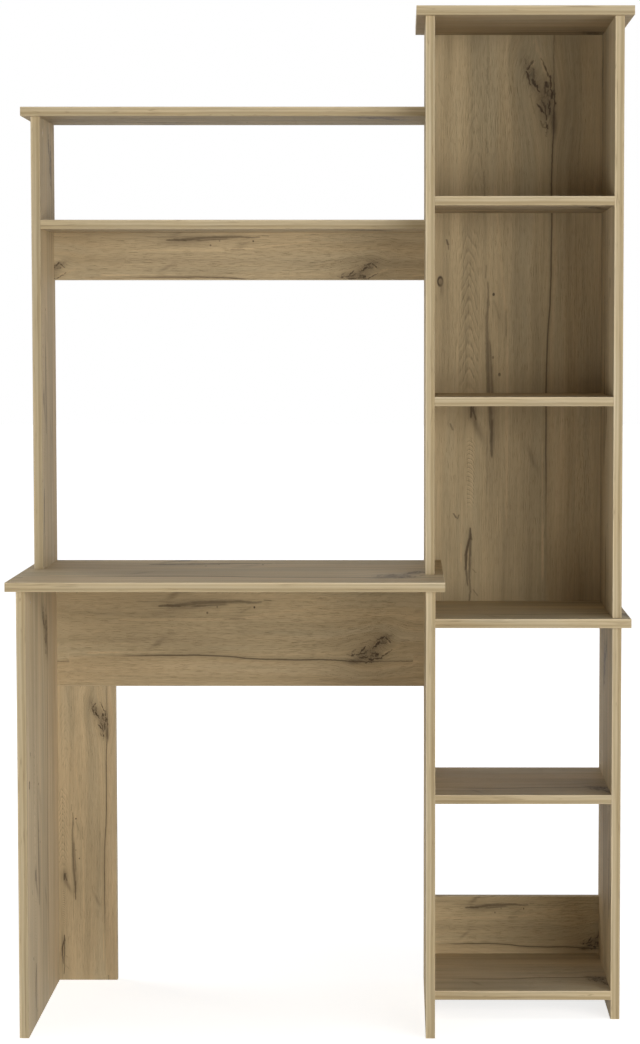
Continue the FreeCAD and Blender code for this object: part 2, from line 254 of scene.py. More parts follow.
# Pale strokes: the same seven numbers.
PALE_STROKES = {
    "beside the streak": (480.0, 74.0, 120.0, 74.8, 3.0, 2.6, 0.42),
    "rising to the knots": (750.0, 98.5, 490.0, 75.5, 2.4, 3.0, 0.40),
    "slant's light": (940.4, 28.3, 926.8, 37.8, 1.4, 1.6, 0.60),
    "between the strands": (982.0, 29.0, 913.0, 8.8, 4.2, 2.4, 0.36),
    "spindle's heart": (109.5, 140.2, 63.8, 141.3, 1.3, 1.5, 0.60),
    "spindle's light": (115.9, 153.3, 77.3, 152.8, 1.8, 1.6, 0.52),
    "crack's foot": (156.0, 12.2, 44.0, 11.2, 2.0, 2.4, 0.72),
    "crack's light": (300.0, 12.5, 130.0, 12.6, 1.2, 1.8, 0.40),
}

# Soft stains: centre along, centre across, half length, half width, lean, depth.
STAINS = {
    "smudge under the fork": (312.0, 124.6, 24.0, 6.4, 0.38, 0.46),
    "round the fork": (345.0, 134.5, 22.0, 11.0, 0.00, 0.46),
    "slanting shade": (261.7, 30.8, 26.0, 5.2, 0.42, 0.30),
    "diamond": (506.0, 89.0, 28.0, 10.0, 0.20, 0.15),
    "blush": (275.0, 89.5, 60.0, 7.5, 0.00, 0.14),
    "bruise by the crack": (831.2, -6.0, 19.0, 4.8, 0.00, 0.52),
    "under the eye": (552.0, 187.0, 15.0, 4.2, 0.00, 0.32),
    "round the spindle": (88.0, 141.0, 46.0, 6.2, 0.00, 0.42),
    "beside the streak": (420.0, 103.0, 70.0, 8.5, 0.06, 0.20),
    "streak's foot": (325.0, 101.2, 52.0, 9.5, 0.00, 0.38),
    "dull plank": (350.0, 40.0, 360.0, 34.0, 0.00, 0.11),
    "round the knots": (885.0, 15.0, 70.0, 30.0, 0.18, 0.20),
}

# The two knots' own stains, which also bend the grain round them: the same six numbers.
KNOT_STAINS = {
    "big knot": (872.0, 6.2, 40.0, 13.5, 0.05, 0.52),
    "upper knot": (917.0, 34.5, 31.0, 11.0, 0.32, 0.48),
}

# Small round knots: centre along, centre across, half length, half width, depth, how full the middle is.
EYES = {
    "eye": (564.9, 189.6, 9.2, 5.4, 1.00, 0.42),
    "pin knot, upper": (542.6, 97.7, 2.9, 2.3, 0.95, 1.00),
    "pin knot, middle": (434.2, 98.1, 2.6, 1.9, 0.55, 1.00),
    "pin knot, lower": (404.9, 86.9, 3.1, 2.3, 0.70, 1.00),
}

# Flame figure: middle across, half width, lowest and highest along, spacing, steepness, lean, depth.
FLAMES = {
    "nested arches": (140.0, 23.0, 365.0, 665.0, 23.0, 2.80, 0.00, 0.25),
    "feather strokes": (135.5, 10.5, 170.0, 300.0, 7.8, 1.10, -0.75, 0.36),
    "faint upper arches": (130.0, 30.0, 700.0, 960.0, 30.0, 3.60, 0.15, 0.10),
}

# Where the print's big knot falls on each board, and how far the print is squeezed along and across.
# The last values turn a board a little lighter or darker in red, green and blue: partly the board's own
# colour, and partly painted light and painted shade that make up for how much light reaches it.
DESK_WINDOWS = {
    "desk_top": (SHELF, (0.114, -0.105, 0.0), 1.45, 0.40, (1.08, 1.10, 1.15)),
    "left_leg_panel": (UPRIGHT, (0.0, 0.055, 0.618), 1.40, 0.80, (1.00, 1.03, 1.11)),
    "right_leg_panel": (UPRIGHT, (0.0, -0.085, 0.600), 1.40, 0.80, (0.98, 1.00, 1.02)),
    "modesty_panel": (RAIL, (0.0632, 0.0, 0.5699), 1.69, 1.09, (1.08, 1.09, 1.09)),
    "rear_leg_strip": (PANEL, (-0.3908, 0.0, 0.4480), 1.97, 1.85, (1.19, 1.20, 1.22)),
}
HUTCH_WINDOWS = {
    "hutch_upright": (UPRIGHT, (0.0, 0.170, 1.405), 1.35, 1.10, (0.91, 0.91, 0.93)),
    "hutch_top": (SHELF, (0.080, 0.060, 0.0), 1.50, 0.85, (0.93, 0.95, 0.96)),
    "hutch_shelf": (SHELF, (0.060, 0.085, 0.0), 1.58, 0.80, (1.13, 1.17, 1.26)),
    "hutch_rail": (RAIL, (0.0440, 0.0, 1.2222), 1.88, 1.48, (1.02, 1.02, 1.02)),
}
TOWER_WINDOWS = {
    "tower_left_upright": (UPRIGHT, (0.0, 0.120, 1.500), 1.00, 0.75, (0.98, 1.00, 1.02)),
    "tower_right_upright": (UPRIGHT, (0.0, 0.260, 1.510), 1.00, 0.75, (0.86, 0.89, 0.95)),
    "tower_top": (SHELF, (0.448, 0.195, 0.0), 2.90, 0.70, (0.83, 0.83, 0.85)),
    "tower_upper_shelf": (SHELF, (0.440, 0.010, 0.0), 3.00, 0.60, (0.98, 1.02, 1.14)),
    "tower_middle_shelf": (TURNED_SHELF, (0.460, -0.010, 0.0), 3.00, 0.80, (0.98, 1.00, 1.03)),
    "tower_back_panel": (PANEL, (0.3755, 0.0, 1.5160), 1.00, 1.00, (1.00, 1.02, 1.02)),
}
CABINET_WINDOWS = {
    "cabinet_counter": (TURNED_SHELF, (0.485, -0.015, 0.0), 2.90, 0.80, (1.07, 1.16, 1.30)),
    "cabinet_side_panel": (UPRIGHT, (0.0, 0.100, 0.560), 1.50, 0.75, (0.93, 0.94, 0.95)),
    "cabinet_shelf": (TURNED_SHELF, (0.452, -0.007, 0.0), 3.00, 0.80, (0.92, 0.92, 0.92)),
    "cabinet_bottom": (TURNED_SHELF, (0.452, 0.010, 0.0), 3.00, 0.80, (1.02, 1.07, 1.16)),
    "cabinet_back_rail": (RAIL, (0.4569, 0.0, 0.0645), 2.75, 1.47, (1.12, 1.14, 1.13)),
}

# Boards whose second sheet of print was laid end for end: that face's outward direction.
TURNED_SHEETS = {
    "left_leg_panel": TOWARDS_LEFT,
    "hutch_top": ALONG_Z,
    "tower_top": ALONG_Z,
    "tower_right_upright": ALONG_X,
    "hutch_rail": ALONG_Y,
    "rear_leg_strip": ALONG_Y,
}

# The thin back panel has a bare hardboard rear and no edge band.
BACK_PANEL = "tower_back_panel"
HARDBOARD_SHADE = 0.78

# Pressed chips: scale of the cells, scale and detail of the grains, each one's share, and dark flecks.
CHIP_CELLS = 420.0
CHIP_GRAINS = 900.0
CHIP_DETAIL = 3.0
CELL_SHARE = 0.6
GRAIN_SHARE = 0.4
CHIP_EDGE = (0.25, 0.75)
FLECK_EDGE = (0.90, 0.97)
FLECK_DEPTH = 0.6

# Painted light and painted shade: bands made lighter or darker than the rest to make up for the light that
# reaches them, lighter on the cabinet where a leg's shadow falls on its bands.
BAND_PAINTED_LIGHT = {
    "cabinet_shelf": 1.06, "cabinet_bottom": 1.10, "cabinet_counter": 1.03, "hutch_upright": 0.94}
BAND_HALF = 0.0075
BAND_STEP = 3.7
BAND_RELIEF = 0.00012
# Turns that lay a band's width on Z, by the axis across which its board is thin: left to right for an
# upright, front to rear for a rail and top to bottom for a shelf.
BAND_TURNS = ((0.0, -math.pi / 2, 0.0), (math.pi / 2, 0.0, 0.0), (math.pi, 0.0, 0.0))

# The band's stripes from its first long edge to its other: share of the way across, and how pale it is. The
# pale rim at the first edge is a painted highlight of a rounded edge catching the light.
BAND_PROFILE_AND_HIGHLIGHT = (
    (0.00, 0.95), (0.08, 0.92), (0.19, 0.47), (0.30, 0.40), (0.43, 0.57),
    (0.53, 0.45), (0.63, 0.12), (0.74, 0.06), (0.86, 0.28), (1.00, 0.36),
)
BAND_SWAY = 0.14
BAND_STRIPES = 0.20
BAND_FIBRE = (0.94, 1.06)
BAND_ROUGHNESS = (0.2, 0.8, 0.66, 0.54)
BLUSH_RED = (0.3, 0.7, 0.985, 1.02)
BLUSH_BLUE = (0.3, 0.7, 1.03, 0.96)
SLIVER_EDGE = (0.65, 0.79)
SLIVER_DEPTH = 0.62
RING_TURNS = 7.0
RING_HALF = 0.5
RING_EDGE = (0.10, 0.0)
RING_BLUSH_EDGE = (0.40, 0.60)
RING_DEPTH = 0.40

DOWEL_NODES = ("desk_dowels", "hutch_dowels", "tower_dowels", "cabinet_dowels", "through_dowels")
METAL_NODES = ("cam_bolts", "back_panel_brads")
CAM_NODE = "cam_housings"
SPECKLE_EDGE = (0.3, 0.7)
BEECH_SHADE = 0.78
ZINC_SHADE = 0.82
ZINC_ROUGHNESS = (0.2, 0.8, 0.30, 0.48)
CAM_ROUGHNESS = 0.40
COVER_SHADE = 0.86
COVER_EDGE = (0.6, 0.8)

# Lamps: bearing from the front in degrees, distance, height, aimed height, width and tallness in metres.
LAMPS = {
    "right": (38.0, 5.2, 1.12, 1.12, 4.8, 2.1),
    "left": (-47.0, 5.2, 0.53, 0.53, 4.8, 0.95),
    "top": (0.0, 0.1, 6.0, 0.8, 2.5, 2.5),
    "rear": (-120.0, 4.9, 2.6, 0.8, 2.5, 2.5),
}


def colour_setting(name, description, default):
    """A colour that a user may change."""
    return FloatVectorProperty(
        name=name, description=description, subtype="COLOR", size=3, min=0.0, max=1.0, default=default)


def number_setting(name, description, default, **kind):
    """A number that a user may change, with its unit or subtype and its limits."""
    return FloatProperty(name=name, description=description, default=default, **kind)


def power_setting(name, description, default):
    """A lamp's power that a user may change."""
    return number_setting(name, description, default, unit="POWER", min=0.0)


class OakFinish(bpy.types.PropertyGroup):
    """Colours and strength of the printed oak on the boards."""

    ground: colour_setting("Ground", "Main colour of the oak print", (0.528, 0.405, 0.236))
    grey: colour_setting("Grey", "Cooler colour that drifts through the print", (0.468, 0.372, 0.226))
    pale: colour_setting("Pale", "Colour of the pale strokes", (0.680, 0.515, 0.293))
    dark: colour_setting("Dark", "Colour of the streaks, cracks and knots", (0.085, 0.056, 0.030))
    fibre: number_setting(
        "Fibre", "Contrast of the fine fibre", 0.205, subtype="FACTOR", min=0.0, max=1.0)
    pore_depth: number_setting(
        "Pore Depth", "Depth of the embossed pores", 0.00025, unit="LENGTH", min=0.0, max=0.002)


class BandFinish(bpy.types.PropertyGroup):
    """Colours of the pale edge bands."""

    pale: colour_setting("Pale", "Light lines of the band", (0.632, 0.517, 0.332))
    deep: colour_setting("Deep", "Browner stripes of the band", (0.370, 0.281, 0.153))
    dark: colour_setting("Dark", "Slim dark slivers of the band", (0.215, 0.150, 0.080))


class CoreFinish(bpy.types.PropertyGroup):
    """Colours of the bare board core, hardboard, dowels and metal fittings."""

    chip_light: colour_setting("Light Chips", "Pale chips on a bare board edge", (0.530, 0.395, 0.235))
    chip_dark: colour_setting("Dark Chips", "Dark chips on a bare board edge", (0.270, 0.178, 0.092))
    hardboard: colour_setting("Hardboard", "Bare rear of the thin back panel", (0.275, 0.165, 0.082))
    beech: colour_setting("Beech", "Turned wood of the dowels", (0.600, 0.425, 0.265))
    zinc: colour_setting("Zinc", "Plated metal of the fittings", (0.560, 0.560, 0.575))


class StageSetup(bpy.types.PropertyGroup):
    """Camera, lamps and floor."""

    camera_place: FloatVectorProperty(
        name="Camera Place", description="Where the camera stands", subtype="TRANSLATION", size=3,
        default=(0.12403, -4.72112, 1.12805))
    pitch: number_setting("Pitch", "How far the camera looks down", 0.06925, subtype="ANGLE")
    yaw: number_setting("Yaw", "How far the camera turns to the right", -0.0024, subtype="ANGLE")
    focal_pixels: number_setting("Focal Length", "Focal length in pixels of the photograph", 2862.56)
    middle_across: number_setting(
        "Middle Across", "Photograph column that the camera looks along", 393.3)
    middle_down: number_setting("Middle Down", "Photograph row that the camera looks along", 530.6)
    sky: number_setting("Sky", "Strength of the even light all round", 0.12, min=0.0)
    right_power: power_setting("Right Lamp", "Power of the wide lamp in front on the right", 190.0)
    left_power: power_setting("Left Lamp", "Power of the low lamp in front on the left", 86.0)
    top_power: power_setting("Top Lamp", "Power of the lamp overhead", 45.0)
    rear_power: power_setting("Rear Lamp", "Power of the lamp behind on the left", 60.0)
    floor_side: number_setting("Floor Side", "Side of the square floor", 60.0, unit="LENGTH", min=1.0)
    floor_colour: colour_setting("Floor Colour", "Colour of the floor", (0.80, 0.80, 0.80))
    floor_glow: number_setting(
        "Floor Glow", "White that the floor shows near the object besides the light on it", 0.76,
        subtype="FACTOR", min=0.0, max=1.0)
    shadow_reach: FloatVectorProperty(
        name="Shadow Reach", description="Where the floor's shadow starts to fade and where it has gone",
        unit="LENGTH", size=2, min=0.0, default=(1.3, 3.0))


def arithmetic(operation):
    """A method of Value that lays one Math node."""
    return lambda value, *others: value.bench.math(operation, value, *others)


class Value:
    """A node's result. Plain arithmetic with it lays Math nodes on its bench."""

    def __init__(self, bench, socket):
        self.bench = bench
        self.socket = socket

    __add__ = arithmetic("ADD")
    __sub__ = arithmetic("SUBTRACT")
    __mul__ = arithmetic("MULTIPLY")
    __truediv__ = arithmetic("DIVIDE")
    __pow__ = arithmetic("POWER")
    __abs__ = arithmetic("ABSOLUTE")

    def __rsub__(self, other):
        return self.bench.math("SUBTRACT", other, self)


class Bench:
    """Lays shader nodes one after another. Each call gives back the new node or its result."""

    COLUMN = 190
    ROW = 170
    PER_COLUMN = 8
    RANGE_SOCKETS = ("Value", "From Min", "From Max", "To Min", "To Max")
    NOISE_SOCKETS = ("Vector", "Scale", "Detail", "Roughness", "Distortion")

    def __init__(self, tree):
        self.tree = tree
        self.count = 0

    def lay(self, kind, inputs=None, **settings):
        """Adds a node of a kind with its settings and inputs, in the next free place of a tidy grid."""
        node = self.tree.nodes.new(kind)
        column, row = divmod(self.count, self.PER_COLUMN)
        node.location = (self.COLUMN * column, -self.ROW * row)
        self.count += 1
        for name, value in settings.items():
            setattr(node, name, value)
        for name, value in (inputs or {}).items():
            self.plug(node.inputs[name], value)
        return node

    def plug(self, socket, value):
        """Links a result to a socket, or sets a plain value on it."""
        if isinstance(value, Value):
            value = value.socket
        if isinstance(value, bpy.types.NodeSocket):
            self.tree.links.new(value, socket)
        else:
            socket.default_value = value

    def math(self, operation, *values):
        """One Math node."""
        node = self.lay("ShaderNodeMath", dict(enumerate(values)), operation=operation)
        return Value(self, node.outputs["Value"])

    def fold(self, operation, *values):
        """Several results joined by one operation, pair after pair."""
        total = values[0]
        for value in values[1:]:
            total = self.math(operation, total, value)
        return total

    def span(self, value, low, high, start=0.0, end=1.0, kind="SMOOTHSTEP", clamp=True):
        """One Map Range node: value goes from low..high to start..end, smoothly."""
        inputs = dict(zip(self.RANGE_SOCKETS, (value, low, high, start, end)))
        node = self.lay("ShaderNodeMapRange", inputs, interpolation_type=kind, clamp=clamp)
        return Value(self, node.outputs["Result"])

    def line(self, value, low, high, start, end, clamp=False):
        """A straight Map Range, by default running on past both ends."""
        return self.span(value, low, high, start, end, kind="LINEAR", clamp=clamp)

    def mix(self, share, start, end):
        """The value that lies a share of the way from start to end."""
        return self.line(share, 0.0, 1.0, start, end)

    def swing(self, noise, reach):
        """A noise's usual range, laid on -reach..reach."""
        return self.line(noise, *NOISE_RANGE, -reach, reach, clamp=True)

    def split(self, vector):
        """The three parts of a vector."""
        node = self.lay("ShaderNodeSeparateXYZ", {"Vector": vector})
        return [Value(self, socket) for socket in node.outputs]

    def join(self, x, y, z=0.0):
        """A vector from three parts."""
        node = self.lay("ShaderNodeCombineXYZ", {"X": x, "Y": y, "Z": z})
        return Value(self, node.outputs["Vector"])

    def stretch(self, vector, factors):
        """A vector times another, part by part."""
        node = self.lay("ShaderNodeVectorMath", {0: vector, 1: factors}, operation="MULTIPLY")
        return Value(self, node.outputs["Vector"])

    def noise(self, vector, kind):
        """Flat noise by its row of the table."""
        along, across, *shape = NOISES[kind]
        values = (self.stretch(vector, (along, across, 0.0)), 1.0, *shape)
        node = self.lay(
            "ShaderNodeTexNoise", dict(zip(self.NOISE_SOCKETS, values)), noise_dimensions="2D")
        return Value(self, node.outputs["Fac"])

    def curve(self, points, value):
        """A smooth curve through points, from 0 to 1 both ways."""
        node = self.lay("ShaderNodeFloatCurve", {"Value": value})
        line = node.mapping.curves[0]
        line.points[0].location = points[0]
        line.points[-1].location = points[-1]
        for spot in points[1:-1]:
            line.points.new(*spot)
        node.mapping.update()
        return Value(self, node.outputs["Value"])

    def blend(self, factor, under, over, kind="MIX"):
        """Mixes two colours."""
        node = self.lay("ShaderNodeMix", data_type="RGBA", blend_type=kind)
        sockets = {socket.identifier: socket for socket in (*node.inputs, *node.outputs)}
        for name, value in (("Factor_Float", factor), ("A_Color", under), ("B_Color", over)):
            self.plug(sockets[name], value)
        return Value(self, sockets["Result_Color"])

    def place(self, group, inputs):
        """Places a node group with its inputs. Gives its results by name."""
        node = self.lay("ShaderNodeGroup", inputs, node_tree=group)
        return {socket.name: Value(self, socket) for socket in node.outputs}


def start_group(name, inputs, outputs):
    """A new shader node group: its tree, its bench, what it is given and the sockets of what it gives."""
    tree = bpy.data.node_groups.new(name, "ShaderNodeTree")
    for way, kinds in (("INPUT", inputs), ("OUTPUT", outputs)):
        for kind, labels in kinds.items():
            for label in labels:
                tree.interface.new_socket(name=label, in_out=way, socket_type="NodeSocket" + kind)
    bench = Bench(tree)
    entry = bench.lay("NodeGroupInput")
    leave = bench.lay("NodeGroupOutput")
    given = {socket.name: Value(bench, socket) for socket in entry.outputs}
    return tree, bench, given, leave.inputs


def shared_group(name, maker):
    """The group of that name, made the first time that it is asked for."""
    return bpy.data.node_groups.get(name) or maker(name)


def make_stroke_group(name):
    """A stroke along the grain: 1 on its middle line, 0 past its half width, fading at both ends."""
    tree, bench, given, result = start_group(
        name, {"Float": ("Along", "Across", "Ragged", *STROKE_SOCKETS)}, {"Float": ("Mask",)})
    run = (given["Along"], given["Start Along"], given["End Along"])
    share = bench.line(*run, 0.0, 1.0)
    middle = bench.line(*run, given["Start Across"], given["End Across"])
    width = bench.line(*run, given["Start Width"], given["End Width"], clamp=True)
    away = abs(given["Across"] - middle)
    body = bench.span(away / (width * given["Ragged"]), *STROKE_EDGE)
    fade = bench.span(share * (1.0 - share), *STROKE_FADE)
    bench.plug(result["Mask"], body * fade * given["Depth"])
    return tree


def make_stain_group(name):
    """A soft leaning oval, e to the minus of its squared distance, and how far the grain bends round it."""
    tree, bench, given, result = start_group(
        name, {"Float": ("Along", "Across", *STAIN_SOCKETS)}, {"Float": ("Shade", "Bend")})
    up = given["Along"] - given["Centre Along"]
    side = given["Across"] - given["Centre Across"] - up * given["Lean"]
    long_square = (up / given["Half Length"]) ** 2.0
    wide_square = (side / given["Half Width"]) ** 2.0
    stain = bench.math("EXPONENT", (long_square + wide_square) * -1.0)
    bench.plug(result["Shade"], stain * given["Depth"])
    pull = bench.math("EXPONENT", (long_square * BEND_ALONG + wide_square * BEND_ACROSS) * -1.0)
    bench.plug(result["Bend"], side * pull * BEND_PULL)
    return tree


def make_eye_group(name):
    """A small round knot: a dark ring, fullest low on one side, round a more or less full middle."""
    tree, bench, given, result = start_group(
        name, {"Float": ("Along", "Across", *EYE_SOCKETS)}, {"Float": ("Ring",)})
    long_share = (given["Along"] - given["Centre Along"]) / given["Half Length"]
    wide_share = (given["Across"] - given["Centre Across"]) / given["Half Width"]
    oval = bench.math("SQRT", long_share ** 2.0 + wide_share ** 2.0)
    ring = bench.span(abs(oval - EYE_RING), *EYE_RING_EDGE)
    ring = ring * bench.span(long_share * EYE_LEAN + wide_share, *EYE_SIDE)
    heart = bench.span(oval, *EYE_HEART_EDGE) * given["Heart"]
    bench.plug(result["Ring"], bench.math("MAXIMUM", ring, heart) * given["Depth"])
    return tree


def make_flame_group(name):
    """Nested arches: thin lines of equal along plus steepness times distance from the middle, lit below."""
    tree, bench, given, result = start_group(
        name, {"Float": ("Along", "Across", "Drift", *FLAME_SOCKETS)}, {"Float": tuple(FLAME_WAVES)})
    side = given["Across"] - given["Middle"]
    reach = bench.math("SQRT", side ** 2.0 + ARCH_ROUND ** 2) + side * given["Lean"]
    rise = given["Along"] + reach * given["Steepness"]
    phase = bench.math("FRACT", rise / given["Spacing"] + given["Drift"])
    inside = bench.span(abs(side) / given["Half Width"], *FLAME_SIDE)
    share = bench.line(given["Along"], given["Lowest"], given["Highest"], 0.0, 1.0)
    weight = inside * bench.span(share * (1.0 - share), *FLAME_FADE) * given["Depth"]
    for socket, middle in FLAME_WAVES.items():
        bench.plug(result[socket], bench.span(abs(phase - middle), *FLAME_EDGE) * weight)
    return tree


# Each kind of mark: its group's name and maker, its sockets in its table's order, and how its results join.
STROKE = ("Oak Stroke", make_stroke_group, STROKE_SOCKETS, {"Mask": "MAXIMUM"})
STAIN = ("Oak Stain", make_stain_group, STAIN_SOCKETS, {"Shade": "ADD", "Bend": "ADD"})
EYE = ("Oak Eye", make_eye_group, EYE_SOCKETS, {"Ring": "MAXIMUM"})
FLAME = ("Oak Flame", make_flame_group, FLAME_SOCKETS, {"Lines": "MAXIMUM", "Light": "MAXIMUM"})


def lay_marks(bench, kind, rows, **places):
    """Every mark of a table's rows, with each of the kind's results joined over all of them.

    A batch starts from the last one's result by a shift too small to see, so that it is worked out after
    it: all marks at once take more room than the renderer has.
    """
    title, maker, names, rules = kind
    group = shared_group(title, maker)
    totals = {}
    for count, row in enumerate(rows, 1):
        if count % MARK_BATCH == 0:
            first = next(iter(totals.values()))
            places["Along"] = bench.math("MULTIPLY_ADD", first, UNSEEN_SHIFT, places["Along"])
        numbers = {
            name: number if name in PLAIN_SOCKETS else number * MILLIMETRE
            for name, number in zip(names, row)}
        mark = bench.place(group, {**places, **numbers})
        for name, rule in rules.items():
            totals[name] = bench.math(rule, totals[name], mark[name]) if name in totals else mark[name]
    return tuple(totals.values())


def lay_crack(bench, along, across, ragged):
    """How dark the long crack is, and 1 on its main plank against 0 on the plank beyond it."""
    points = [(at, (value / CRACK_REACH + 1) / 2) for at, value in CRACK_LINE]
    away = across - bench.mix(bench.curve(points, along), -CRACK_REACH, CRACK_REACH)
    width = bench.line(ragged, *RAGGED, *CRACK_UNEVEN) * bench.span(along, *CRACK_WIDTH_FADE)
    body = bench.span(abs(away) / (width * CRACK_HALF_WIDTH), *CRACK_EDGE)
    shade = bench.span(abs(away), *CRACK_SHADE_SIDE)
    fade = bench.span(along, *CRACK_FOOT_FADE) * bench.span(along, *CRACK_TOP_FADE)
    return bench.math("MAXIMUM", body, shade) * fade, bench.span(away, *PLANK_EDGE)


def make_print_group(name):
    """The oak print: drifting tone, long fibre, pores, flame figure, stains, strokes, knots and a crack."""
    tree, bench, given, result = start_group(
        name,
        {"Vector": ("Vector", "Grain"), "Color": ("Ground", "Grey", "Pale", "Dark"), "Float": ("Fibre",)},
        {"Color": ("Colour",), "Float": ("Roughness", "Height")})
    run, _, straight = bench.split(given["Vector"])
    along = bench.math("WRAP", run, PRINT_LENGTH, 0.0)
    plain = bench.join(run, straight)
    straight = straight + bench.mix(bench.noise(plain, "wander"), -WANDER, WANDER)
    stain, _ = lay_marks(bench, STAIN, STAINS.values(), Along=along, Across=straight)
    knot_stain, bend = lay_marks(bench, STAIN, KNOT_STAINS.values(), Along=along, Across=straight)
    flat = bench.join(run, straight + bend)
    gnarled = bench.span(along, *KNOT_FADE)
    tremble = bench.mix(bench.noise(plain, "tremble"), -TREMBLE, TREMBLE) * gnarled
    jagged = straight + tremble
    ragged = bench.line(bench.noise(plain, "ragged"), *RAGGED_NOISE, *RAGGED, clamp=True)
    ragged = bench.mix(gnarled, 1.0, ragged)
    dark_rows = [row for strokes in DARK_STROKES.values() for row in strokes.values()]
    dark, = lay_marks(bench, STROKE, dark_rows, Along=along, Across=jagged, Ragged=ragged)
    pale, = lay_marks(bench, STROKE, PALE_STROKES.values(), Along=along, Across=jagged, Ragged=ragged)
    crack, main_plank = lay_crack(bench, along, tremble * CRACK_TREMBLE + straight, ragged)
    eyes, = lay_marks(bench, EYE, EYES.values(), Along=along, Across=straight)
    dark = bench.fold("MAXIMUM", dark, crack, eyes)
    tone = bench.noise(flat, "tone")
    grain = bench.stretch(flat, given["Grain"])
    woods = {kind: bench.noise(grain, kind) for kind in LIGHTENERS}
    dashes = bench.span(bench.noise(grain, "dashes"), *DASH_EDGE) * bench.span(tone, *DASH_FADE)
    drift = bench.mix(bench.noise(plain, "drift"), -DRIFT, DRIFT)
    flames, lights = lay_marks(bench, FLAME, FLAMES.values(), Along=along, Across=straight, Drift=drift)
    flames = flames * bench.span(woods["fibre"], *FLAME_FIBRE_FADE)
    mood = tone * MOOD_TONE + woods["wisp"] * MOOD_WISP
    colour = bench.blend(bench.span(mood, *MOOD_EDGE), given["Ground"], given["Grey"])
    light = bench.fold("ADD", *(bench.swing(woods[kind], reach) for kind, reach in LIGHTENERS.items()))
    light = light * given["Fibre"] + 1.0
    gnarl = bench.line(bench.noise(plain, "gnarl"), *GNARL_NOISE, -GNARL, GNARL, clamp=True)
    light = (gnarl * knot_stain + light) * bench.span(straight, *PALE_PLANK_SIDE)
    light = light - dashes * DASH_DEPTH + lights * FLAME_LIGHT
    planks = bench.join(*(bench.mix(main_plank, share, 1.0) for share in FAR_PLANK))
    lit = bench.stretch(planks, bench.join(light, light, light))
    colour = bench.blend(1.0, colour, lit, kind="MULTIPLY")
    shade = bench.math("MINIMUM", stain + knot_stain, DEEPEST_STAIN)
    colour = bench.blend(shade, colour, given["Dark"])
    colour = bench.blend(pale, colour, given["Pale"])
    colour = bench.blend(bench.math("MAXIMUM", dark, flames), colour, given["Dark"])
    bench.plug(result["Colour"], colour)
    bench.plug(result["Roughness"], bench.line(woods["fibre"], *WOOD_ROUGHNESS))
    pits = bench.span(bench.noise(grain, "pits"), *PIT_EDGE)
    bench.plug(result["Height"], bench.noise(grain, "relief") - pits)
    return tree


def make_band_group(name):
    """Straight stripes along an edge band by its own profile, with a painted highlight on its first long
    edge, fine fibre and slim dark slivers.
    """
    tree, bench, given, result = start_group(
        name,
        {"Vector": ("Vector",), "Color": ("Deep", "Pale", "Dark")},
        {"Color": ("Colour",), "Float": ("Roughness", "Height")})
    one_way, other_way, across = bench.split(given["Vector"])
    flat = bench.join(one_way + other_way, across)
    sway = bench.mix(bench.noise(flat, "band's sway"), -BAND_SWAY, BAND_SWAY)
    # The profile's pale first edge is a painted highlight; the rest are the band's stripes.
    profile = bench.curve(BAND_PROFILE_AND_HIGHLIGHT, bench.line(across, -BAND_HALF, BAND_HALF, 0.0, 1.0) + sway)
    profile = profile + bench.swing(bench.noise(flat, "band's stripes"), BAND_STRIPES)
    colour = bench.blend(profile, given["Deep"], given["Pale"])
    fine = bench.noise(flat, "band's fibre")
    light = bench.line(fine, *NOISE_RANGE, *BAND_FIBRE, clamp=True)
    blush = bench.noise(flat, "band's blush")
    red = light * bench.line(blush, *BLUSH_RED, clamp=True)
    blue = light * bench.line(blush, *BLUSH_BLUE, clamp=True)
    colour = bench.blend(1.0, colour, bench.join(red, light, blue), kind="MULTIPLY")
    slivers = bench.span(bench.noise(flat, "band's slivers"), *SLIVER_EDGE)
    rings = bench.math("PINGPONG", bench.noise(flat, "band's rings") * RING_TURNS, RING_HALF)
    rings = bench.span(rings, *RING_EDGE) * bench.span(blush, *RING_BLUSH_EDGE)
    marks = bench.math("MAXIMUM", slivers * SLIVER_DEPTH, rings * RING_DEPTH)
    bench.plug(result["Colour"], bench.blend(marks, colour, given["Dark"]))
    bench.plug(result["Roughness"], bench.line(fine, *BAND_ROUGHNESS))
    bench.plug(result["Height"], fine - slivers)
    return tree


def make_chip_group(name):
    """Pressed wood chips on a bare board edge: uneven cells of two browns with dark flecks."""
    tree, bench, given, result = start_group(
        name,
        {"Vector": ("Vector",), "Color": ("Light", "Dark")},
        {"Color": ("Colour",), "Float": ("Height",)})
    cells = bench.lay(
        "ShaderNodeTexVoronoi", {"Vector": given["Vector"], "Scale": CHIP_CELLS},
        voronoi_dimensions="3D", feature="F1")
    grains = bench.lay(
        "ShaderNodeTexNoise", {"Vector": given["Vector"], "Scale": CHIP_GRAINS, "Detail": CHIP_DETAIL},
        noise_dimensions="3D")
    grains = Value(bench, grains.outputs["Fac"])
    shade, _, fleck = bench.split(cells.outputs["Color"])
    mixed = shade * CELL_SHARE + grains * GRAIN_SHARE
    colour = bench.blend(bench.span(mixed, *CHIP_EDGE), given["Light"], given["Dark"])
    flecks = bench.span(fleck, *FLECK_EDGE) * FLECK_DEPTH
    bench.plug(result["Colour"], bench.blend(flecks, colour, given["Dark"]))
    bench.plug(result["Height"], grains - cells.outputs["Distance"])
    return tree


def clear_bench(owner):
    """The bench of a material or a world, cleared of the nodes that it came with."""
    owner.use_nodes = True
    owner.node_tree.nodes.clear()
    return Bench(owner.node_tree)


def start_material(name):
    """An empty node material: its bench, its Principled shader and the piece's own coordinates."""
    material = bpy.data.materials.new(name)
    bench = clear_bench(material)
    shader = bench.lay("ShaderNodeBsdfPrincipled")
    bench.lay("ShaderNodeOutputMaterial", {"Surface": shader.outputs["BSDF"]})
    return material, bench, shader, bench.lay("ShaderNodeTexCoord")


def coat(bench, shader, colour, roughness):
    """Gives a shader its colour and roughness."""
    bench.plug(shader.inputs["Base Color"], colour)
    bench.plug(shader.inputs["Roughness"], roughness)


